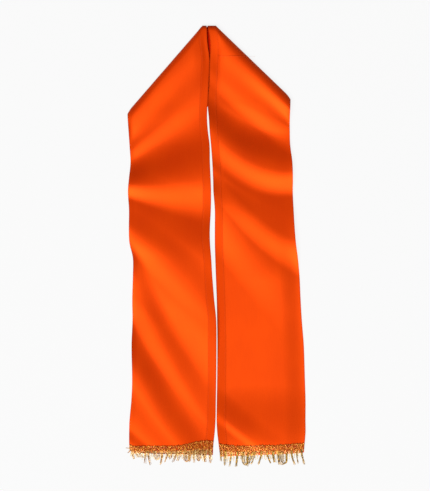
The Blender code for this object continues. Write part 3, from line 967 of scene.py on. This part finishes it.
def sewing_thread(name, colour):
    """Spun polyester sewing thread: hairy and matt, so it shows beside glossy satin or gold."""
    finish, tree, output = new_finish(name)
    place = add_shader_node(tree, "ShaderNodeTexCoord")
    # The twist of the thread repeats about every 0.5 mm, with painted shade in its hollows
    twist = add_shader_node(
        tree,
        "ShaderNodeTexNoise",
        values=[("Scale", 1.0 / PLY_SPACING)],
        links=[("Vector", place.outputs["Object"])],
    )
    tint = add_shader_node(
        tree,
        "ShaderNodeMix",
        [("data_type", "RGBA")],
        links=[("Factor", twist.outputs["Fac"])],
    )
    tint.inputs[6].default_value = [c * PLY_SHADE for c in hex_colour(colour)[:3]] + [1.0]
    tint.inputs[7].default_value = hex_colour(colour)
    shader = add_shader_node(
        tree,
        "ShaderNodeBsdfPrincipled",
        values=[("Roughness", 0.7)],
        links=[("Base Color", tint.outputs[2])],
    )
    tree.links.new(shader.outputs["BSDF"], output.inputs["Surface"])
    return finish


def frames_along(line):
    """Side and upright directions at each point of a path."""
    ahead = np.gradient(line, axis=0)
    ahead = ahead / np.maximum(np.linalg.norm(ahead, axis=1, keepdims=True), 1e-9)
    up = np.tile(np.array([0.0, 0.0, 1.0]), (len(line), 1))
    steep = np.abs(ahead[:, 2]) > 0.95
    up[steep] = (0.0, 1.0, 0.0)
    side = np.cross(ahead, up)
    side = side / np.maximum(np.linalg.norm(side, axis=1, keepdims=True), 1e-9)
    return side, np.cross(side, ahead)


def add_thread(solid, line, widths, depths, twist, finish=0):
    """A flat thread along a path, its section turning as it goes."""
    side, up = frames_along(line)
    rings = []
    for i, point in enumerate(line):
        ring = []
        for k in range(THREAD_CORNERS):
            angle = 2.0 * math.pi * (k + 0.5) / THREAD_CORNERS
            a = 0.5 * widths[i] * math.cos(angle)
            b = 0.5 * depths[i] * math.sin(angle)
            c, s = math.cos(twist[i]), math.sin(twist[i])
            place = point + side[i] * (a * c - b * s) + up[i] * (a * s + b * c)
            ring.append(solid.verts.new(place))
        rings.append(ring)
    for ring, following in zip(rings, rings[1:]):
        for k in range(THREAD_CORNERS):
            m = (k + 1) % THREAD_CORNERS
            face = solid.faces.new((ring[k], ring[m], following[m], following[k]))
            face.material_index = finish
    solid.faces.new(list(reversed(rings[0]))).material_index = finish
    solid.faces.new(rings[-1]).material_index = finish


class PATKA_PG_sizes(bpy.types.PropertyGroup):
    """Sizes that a user would change."""

    strip_width: FloatProperty(
        name="Strip width",
        description="Width of the satin strip",
        default=0.150,
        min=0.05,
        unit="LENGTH",
    )
    shell: FloatProperty(
        name="Satin thickness",
        description="Thickness of the satin shell",
        default=0.0005,
        min=0.0001,
        unit="LENGTH",
    )
    hem_shell: FloatProperty(
        name="Hem thickness",
        description="How far the turned hem stands up from the satin",
        default=0.0002,
        min=0.0001,
        unit="LENGTH",
    )
    hem_width: FloatProperty(
        name="Hem width",
        description="Width of the turned band on the inner edge",
        default=0.015,
        min=0.003,
        unit="LENGTH",
    )
    stitch_pitch: FloatProperty(
        name="Stitch pitch",
        description="Distance from one stitch to the next",
        default=0.0032,
        min=0.001,
        unit="LENGTH",
    )
    columns: IntProperty(
        name="Columns",
        description="Grid lines across the strip",
        default=60,
        min=12,
    )
    tail_rows: IntProperty(
        name="Tail rows",
        description="Grid lines along each tail",
        default=250,
        min=40,
    )


class PATKA_PG_colours(bpy.types.PropertyGroup):
    """Colours that a user would change."""

    floor: FloatVectorProperty(
        name="Floor",
        description="Linear colour of the ground",
        default=hex_colour("#F6F6F6")[:3],
        size=3,
        subtype="COLOR",
        min=0.0,
        max=1.0,
    )


def satin_finishes():
    """Finishes for the two sides of the satin, its bright face first, and of the turned hem."""
    face = woven_satin("woven_satin", FACE)
    wrong = woven_satin("satin_wrong_side", WRONG_SIDE)
    hem = woven_satin("woven_satin_turned_hem", TURNED_HEM)
    return [face, wrong], [hem, hem]


class PATKA_OT_cloth(bpy.types.Operator):
    """Lay the three stretches of satin and the turned hem on the inner edges"""

    bl_idname = "patka.cloth"
    bl_label = "Satin stretches and hems"

    def execute(self, context):
        sizes = context.scene.patka_sizes
        face_finish, hem_finish = satin_finishes()
        share = shares_across(sizes)
        hem_start = int(np.argmin(np.abs(share - (1.0 - sizes.hem_width / sizes.strip_width))))
        shell = sizes.shell * MM_PER_M
        hem_shell = sizes.hem_shell * MM_PER_M
        hem_offset = 0.5 * shell + HEM_CLEAR + 0.5 * hem_shell

        tuck = tuck_rows("left", share)[::-1]
        upper, upper_shade = upper_rows("left", share, sizes)
        grid = np.concatenate([tuck, upper])
        # Painted shade round under the fold, at the fold's rim and under the braid
        shade = np.concatenate([np.full(tuck.shape[:2], 1.0 - FOLD_SHADE), upper_shade])
        surface = open_surface(grid, lengthwise_uv(grid, share, sizes), shade)
        add_piece(
            "left_tail_satin",
            thin_shell(surface, surface.faces[:], shell),
            face_finish,
            ["left_tail"],
        )
        hem = hem_faces(surface, len(tuck), hem_start)
        add_piece(
            "left_edge_hem_satin",
            thin_shell(surface, hem, hem_shell, hem_offset),
            hem_finish,
            ["left_edge_hem"],
        )
        surface.free()

        left_lip = tuck_rows("left", share)[-1]
        right_tuck = tuck_rows("right", share)[::-1]
        heading = right_tuck[0] - left_lip
        heading = heading / np.linalg.norm(heading, axis=1, keepdims=True)
        start = left_lip + heading * SEAM_GAP
        steps = np.linspace(0.0, 1.0, NECK_LINES + 1)[:-1, None, None]
        neck = mix(start[None], right_tuck[0][None], steps)
        neck[:, -1, 1] += NECK_PEAK * bump(2.0 * steps[:, 0, 0] - 1.0)
        upper, upper_shade = upper_rows("right", share, sizes)
        grid = np.concatenate([neck, right_tuck, upper])
        # Painted shade on the neck's satin near its upper edge, seen deep in the slit between the
        # tails
        slit_shade = mix(1.0, NECK_SLIT_SHADE, ease((share - SLIT_SHADE_START) / SLIT_SHADE_SPAN))
        plain = np.broadcast_to(slit_shade, neck.shape[:2])
        # Painted shade on the satin round under the fold
        turned = np.full(right_tuck.shape[:2], 1.0 - FOLD_SHADE)
        shade = np.concatenate([plain, turned, upper_shade])
        fold_row = len(neck) + len(right_tuck)
        surface = open_surface(grid, lengthwise_uv(grid, share, sizes), shade)
        hem = hem_faces(surface, fold_row, hem_start)
        add_piece(
            "right_edge_hem_satin",
            thin_shell(surface, hem, hem_shell, hem_offset),
            hem_finish,
            ["right_edge_hem"],
        )
        first, second = split_at_seam(surface, fold_row)
        neck_piece = add_piece(
            "neck_stretch_satin",
            thin_shell(surface, first, shell),
            face_finish,
            ["neck_stretch"],
        )
        add_piece(
            "right_tail_satin",
            thin_shell(surface, second, shell),
            face_finish,
            ["right_tail"],
        )
        surface.free()
        return {"FINISHED"}


def surface_point(side, share, y, lift):
    """A point above the upper layer of a tail, lift millimetres over its middle."""
    x = edge_x(side, share, y)
    inset = (crest(side, share)[1] - y) * -inward(side, share)[1]
    return np.stack([x, y, upper_height(side, share, x, y, inset) + lift], axis=-1)


class PATKA_OT_stitching(bpy.types.Operator):
    """Sew the row of stitches on each hem and the row below the join seam"""

    bl_idname = "patka.stitching"
    bl_label = "Stitching"

    def execute(self, context):
        sizes = context.scene.patka_sizes
        finish = [sewing_thread("spun_polyester_thread", SATIN_THREAD)]
        pitch = sizes.stitch_pitch * MM_PER_M
        for side in ("left", "right"):
            self.hem_row(side, sizes, pitch, finish)
        self.seam_row(sizes, pitch, finish)
        return {"FINISHED"}

    def hem_row(self, side, sizes, pitch, finish):
        """The row that holds the turned hem down, near its inner side."""
        inset = sizes.hem_width * MM_PER_M - HEM_STITCH_INSET
        share = 1.0 - inset / (sizes.strip_width * MM_PER_M)
        lift = (0.5 * sizes.shell + sizes.hem_shell) * MM_PER_M + HEM_CLEAR
        solid = bmesh.new()
        end = float(cloth_end_y(side, np.array(share))) + HEM_STITCH_END
        top = float(crest(side, np.array([share]))[1][0]) - HEM_STITCH_TOP
        for i in range(int((top - end) / pitch)):
            low = end + i * pitch
            y = np.linspace(low, low + pitch * HEM_STITCH_SHARE, STITCH_POINTS)
            line = surface_point(side, np.full(STITCH_POINTS, share), y, lift)
            line[:, 2] += STITCH_ARCH
            add_thread(solid, line, *STITCH_SECTION)
        add_piece(side + "_hem_stitches", solid, finish, [])

    def seam_row(self, sizes, pitch, finish):
        """The row just below the join seam, from under the fold's roll to the hem."""
        shares = np.linspace(SEAM_STITCH_START, SEAM_STITCH_STOP, SEAM_STITCH_POINTS)
        y = np.full(SEAM_STITCH_POINTS, SEAM_Y - SEAM_STITCH_BELOW)
        line = surface_point("right", shares, y, 0.0)
        run = np.concatenate([[0], np.cumsum(np.linalg.norm(np.diff(line, axis=0), axis=1))])
        solid = bmesh.new()
        for i in range(int(run[-1] / pitch)):
            at = i * pitch + np.linspace(0.0, pitch * SEAM_STITCH_SHARE, STITCH_POINTS)
            points = np.stack([np.interp(at, run, line[:, k]) for k in range(3)], axis=1)
            points[:, 2] += 0.5 * sizes.shell * MM_PER_M + STITCH_ARCH
            add_thread(solid, points, *STITCH_SECTION)
        add_piece("join_seam_stitches", solid, finish, [])


def cloth_top(side, share, y):
    """Height of the satin's upper face near the cloth's end, or of the hem's."""
    x = edge_x(side, share, y)
    step = ease((share - HEM_TOP_START) / HEM_TOP_SPAN)
    return resting_height(side, share, x, y) + SATIN_TOP + step * HEM_TOP_STEP


class PATKA_OT_fringe(bpy.types.Operator):
    """Lay the crimped gold braid over each cloth end and hang the thread fringe from it"""

    bl_idname = "patka.fringe"
    bl_label = "Gold braid and fringe"

    def execute(self, context):
        braid = [
            crimped_gold_thread("crimped_gold_braid", BRAID_GOLD),
            # Dark brown thread whose colour paints the shadow line along the cloth's end
            sewing_thread("brown_chain_thread", PAINTED_SHADOW_THREAD),
        ]
        yellow = crimped_gold_thread("crimped_gold_film_thread", YELLOW_GOLD)
        dull = crimped_gold_thread("dull_gold_film_thread", DULL_GOLD)
        pale = crimped_gold_thread("pale_gold_film_thread", PALE_GOLD)
        for index, side in enumerate(("left", "right")):
            rng = np.random.default_rng(11 + index)
            solid = bmesh.new()
            self.plait(solid, side, rng)
            self.crimps(solid, side, rng)
            self.short_threads(solid, side, rng)
            self.chain(solid, side)
            add_piece(side + "_gold_braid", solid, braid, [])
            solid = bmesh.new()
            self.tufts(solid, side, rng)
            add_piece(
                side + "_fringe_threads",
                solid,
                [dull if side == "left" else yellow, pale],
                [side + "_gold_fringe"],
            )
        return {"FINISHED"}

    def plait(self, solid, side, rng):
        """Zigzag yarns plaited along the header."""
        share = np.linspace(0.004, 0.996, PLAIT_POINTS)
        end = cloth_end_y(side, share)
        upper = along(BRAIDS[side], "share", "upper", share)
        lower = along(BRAIDS[side], "share", "lower", share)
        for k in range(PLAIT_YARNS):
            phase = 2.0 * math.pi * k / PLAIT_YARNS + rng.uniform(-0.4, 0.4)
            turns = PLAIT_SWINGS + PLAIT_MORE_SWINGS * (k % 3)
            swing = PLAIT_SWEEP * np.sin(turns * math.pi * share + phase)
            slow = rng.normal(0.0, 1.0, PLAIT_DRIFTS)
            drift = PLAIT_DRIFT * np.interp(share, np.linspace(0, 1, PLAIT_DRIFTS), slow)
            y = end + mix(lower, upper, 0.5) + (upper - lower) * swing + drift
            over = PLAIT_CROSSING * np.cos(turns * math.pi * share + phase * 1.7 + k)
            lift = np.maximum(PLAIT_HEIGHT + over, PLAIT_LOWEST)
            z = cloth_top(side, share, y) + lift + 0.1 * rng.normal(0, 1, PLAIT_POINTS)
            line = np.stack([edge_x(side, share, y), y, z], axis=1)
            widths = PLAIT_WIDTH + 0.3 * rng.normal(0, 1, PLAIT_POINTS).clip(-1, 1)
            twist = np.cumsum(rng.normal(0.0, 0.25, PLAIT_POINTS))
            add_thread(solid, line, widths, widths * PLAIT_FLATNESS, twist)

    def crimps(self, solid, side, rng):
        """Small loops of film that stand out of the plait and over its edges."""
        widths = [CRIMP_WIDTH] * CRIMP_POINTS
        depths = [CRIMP_DEPTH] * CRIMP_POINTS
        for _ in range(CRIMPS):
            share = rng.uniform(0.01, 0.99)
            upper = along(BRAIDS[side], "share", "upper", share)
            lower = along(BRAIDS[side], "share", "lower", share)
            place = mix(lower - CRIMP_MARGIN, upper + CRIMP_MARGIN, rng.uniform())
            y = float(cloth_end_y(side, np.array(share)) + place)
            size = rng.uniform(0.7, 1.7)
            turn = rng.uniform(0.0, math.pi)
            angle = np.linspace(-0.2, math.pi + 0.2, CRIMP_POINTS)
            out = np.cos(angle) * size
            x = edge_x(side, share, y) + out * math.cos(turn)
            ys = y + out * math.sin(turn)
            z = cloth_top(side, share, ys) + 0.7 + np.sin(angle).clip(0.0) * size * 0.5
            twist = np.linspace(0.0, rng.uniform(0, 2), CRIMP_POINTS)
            add_thread(solid, np.stack([x, ys, z], axis=1), widths, depths, twist)

    def short_threads(self, solid, side, rng):
        """Short threads side by side from the plait down to the cloth's end."""
        for share in np.linspace(0.012, 0.988, SHORT_THREADS):
            share = float(share + rng.normal(0.0, 0.003))
            if rng.uniform() < SHORT_THREADS_LEFT:
                short = Tuft(share, rng.normal(0.0, 1.0), rng.uniform(-1.5, 1.5), 0.0, 1, 0)
                self.strand(solid, side, short, 0.0, SHORT_THREAD_WIDTH, rng)

    def chain(self, solid, side):
        """The brown line of chain stitches that holds the fringe, dark to paint the shadow along
        the cloth's end.
        """
        row = CHAINS[side]
        share = np.linspace(row.start, row.stop, CHAIN_POINTS)
        y = cloth_end_y(side, share) + row.above + 0.35 * np.sin(share * 90.0)
        z = cloth_top(side, share, y) + 0.55 + 0.15 * np.cos(share * 300.0)
        line = np.stack([edge_x(side, share, y), y, z], axis=1)
        from_end = 1.0 - np.abs(np.linspace(-1.0, 1.0, CHAIN_POINTS))
        width = row.width * np.minimum(1.0, 12.0 * from_end + 0.2)
        add_thread(solid, line, width, width * 0.4, np.zeros(CHAIN_POINTS), 1)

    def tufts(self, solid, side, rng):
        """Tufts of flat film threads over the cloth's end, and pale ones between them."""
        threads = THREADS[side]
        for tuft in TUFTS[side]:
            for k in range(tuft.threads):
                step = (k - 0.5 * (tuft.threads - 1)) / max(tuft.threads - 1, 1)
                self.strand(solid, side, tuft, step, threads.gold_width, rng)
        for share in np.linspace(0.02, 0.98, threads.pale_count):
            reach = rng.uniform(5.0, 12.0)
            under = Tuft(float(share), rng.normal(0.0, 2.0), reach, 0.0, 1, 0)
            self.strand(solid, side, under, 0.0, threads.pale_width, rng, 1)

    def strand(self, solid, side, tuft, step, wide, rng, finish=0):
        """One crinkled thread of a tuft, step being its place across it from -0.5 to 0.5."""
        share = tuft.share
        end = float(cloth_end_y(side, np.array(share)))
        lower = float(along(BRAIDS[side], "share", "lower", share))
        root_y = end + lower + rng.uniform(0.5, 2.5)
        root_x = float(edge_x(side, share, root_y)) + step * tuft.spread
        reach = tuft.reach * rng.uniform(0.9, 1.05)
        if tuft.loop:
            t = np.linspace(0.0, 1.0, LOOP_POINTS)
            turn = np.pi * ease((t - LOOP_TURN_START) / LOOP_TURN_SPAN)
            half = tuft.spread * (0.75 + 0.5 * step)
            down = np.clip(t / LOOP_FURTHEST, 0.0, 1.0)
            back = np.clip((t - LOOP_FURTHEST) / (1.0 - LOOP_FURTHEST), 0.0, 1.0)
            y = mix(root_y, end - reach * (0.95 + 0.1 * step), down**1.1)
            y = y + back * (root_y - end + reach) * LOOP_RETURN
            x = root_x - 2.0 * step * tuft.spread - half + half * (1.0 - np.cos(turn))
            x = x + tuft.lean * down**1.5
        else:
            t = np.linspace(0.0, 1.0, STRAND_POINTS)
            y = mix(root_y, end - reach, t)
            x = root_x + (tuft.lean + rng.normal(0.0, 0.8)) * t**1.6 - step * tuft.spread * 0.25 * t
        wave = rng.uniform(2.0, 4.5)
        x = x + STRAND_WAVE * np.sin(wave * 6.0 * t + rng.uniform(0, 6)) * t
        over = cloth_top(side, np.full(len(t), share), np.maximum(y, end)) + 0.35 - 0.15 * finish
        fall = ease((end - y) / rng.uniform(7.0, 13.0))
        z = mix(over, rng.uniform(0.6, 1.2) - 0.3 * finish, fall)
        lift = rng.uniform(0.0, 0.8) * (1.0 - finish)
        z = z + np.abs(STRAND_WAVE * np.sin(wave * 5.0 * t + rng.uniform(0, 6))) + lift
        taper = 1.0 - STRAND_TAPER * t
        width = wide * rng.uniform(0.75, 1.15) * taper
        twist = rng.uniform(-0.4, 0.4) + rng.uniform(-0.9, 0.9) * t
        line = np.stack([x, y, z], axis=1)
        add_thread(solid, line, width, width * STRAND_FLATNESS, twist, finish)


class PATKA_OT_stage(bpy.types.Operator):
    """Lay the pale ground and set the soft box and the camera straight above"""

    bl_idname = "patka.stage"
    bl_label = "Ground, light and camera"

    def execute(self, context):
        scene = context.scene
        self.ground(scene)
        self.world(scene)
        self.soft_box("key_soft_box", KEY)
        camera = bpy.data.cameras.new("camera_above")
        camera.sensor_width = SENSOR
        camera.lens = LENS
        camera.clip_end = 50.0
        holder = bpy.data.objects.new("camera_above", camera)
        holder.location = (CAMERA_X, CAMERA_Y, VIEW_TALL * LENS / SENSOR * MM)
        scene.collection.objects.link(holder)
        scene.camera = holder
        scene.view_settings.view_transform = "Standard"
        return {"FINISHED"}

    def ground(self, scene):
        """A wide pale opal sheet, lit from below so that shadows on it stay light."""
        floor = bmesh.new()
        bmesh.ops.create_grid(floor, x_segments=2, y_segments=2, size=FLOOR_HALF)
        mesh = bpy.data.meshes.new("pale_floor")
        floor.to_mesh(mesh)
        floor.free()
        finish, tree, output = new_finish("softly_backlit_opal_sheet")
        colour = (*scene.patka_colours.floor, 1.0)
        # Most of the sheet's light is its own, so the eye sees an even white with faint shadows
        shader = add_shader_node(
            tree,
            "ShaderNodeBsdfPrincipled",
            values=[
                ("Base Color", hex_colour(FLOOR_UNLIT)),
                ("Roughness", 0.9),
                ("Specular IOR Level", 0.0),
                ("Emission Color", colour),
                ("Emission Strength", FLOOR_GLOW),
            ],
        )
        tree.links.new(shader.outputs["BSDF"], output.inputs["Surface"])
        mesh.materials.append(finish)
        piece = bpy.data.objects.new("pale_floor", mesh)
        scene.collection.objects.link(piece)

    def world(self, scene):
        """A dim even surround."""
        world = bpy.data.worlds.new("studio_surround")
        world.use_nodes = True
        back = world.node_tree.nodes["Background"]
        back.inputs["Color"].default_value = (1.0, 1.0, 1.0, 1.0)
        back.inputs["Strength"].default_value = SURROUND
        scene.world = world

    def soft_box(self, name, box):
        """A soft box turned to the middle of the sash."""
        light = bpy.data.lights.new(name, "AREA")
        light.shape = "RECTANGLE"
        light.size = box.width
        light.size_y = box.height
        light.energy = box.power
        holder = bpy.data.objects.new(name, light)
        holder.location = box.place
        holder.rotation_euler = (-Vector(box.place)).to_track_quat("-Z", "Y").to_euler()
        bpy.context.scene.collection.objects.link(holder)


class PATKA_PT_panel(bpy.types.Panel):
    """Lists the patka's operators"""

    bl_idname = "PATKA_PT_panel"
    bl_label = "Patka"
    bl_space_type = "VIEW_3D"
    bl_region_type = "UI"
    bl_category = "Patka"

    def draw(self, context):
        sizes = context.scene.patka_sizes
        for name in PATKA_PG_sizes.__annotations__:
            self.layout.prop(sizes, name)
        self.layout.prop(context.scene.patka_colours, "floor")
        for operator in STEPS:
            self.layout.operator(operator.bl_idname)


STEPS = (PATKA_OT_cloth, PATKA_OT_stitching, PATKA_OT_fringe, PATKA_OT_stage)
CLASSES = (PATKA_PG_sizes, PATKA_PG_colours, *STEPS, PATKA_PT_panel)


def register():
    """Register the classes and hang the settings on the scene."""
    for item in CLASSES:
        bpy.utils.register_class(item)
    bpy.types.Scene.patka_sizes = PointerProperty(type=PATKA_PG_sizes)
    bpy.types.Scene.patka_colours = PointerProperty(type=PATKA_PG_colours)


def unregister():
    """Take the settings and the classes off again."""
    del bpy.types.Scene.patka_sizes
    del bpy.types.Scene.patka_colours
    for item in reversed(CLASSES):
        bpy.utils.unregister_class(item)


def main():
    """Build the dressed patka and its stage, piece by piece."""
    register()
    bpy.ops.patka.cloth()
    bpy.ops.patka.stitching()
    bpy.ops.patka.fringe()
    bpy.ops.patka.stage()


if __name__ == "__main__":
    main()
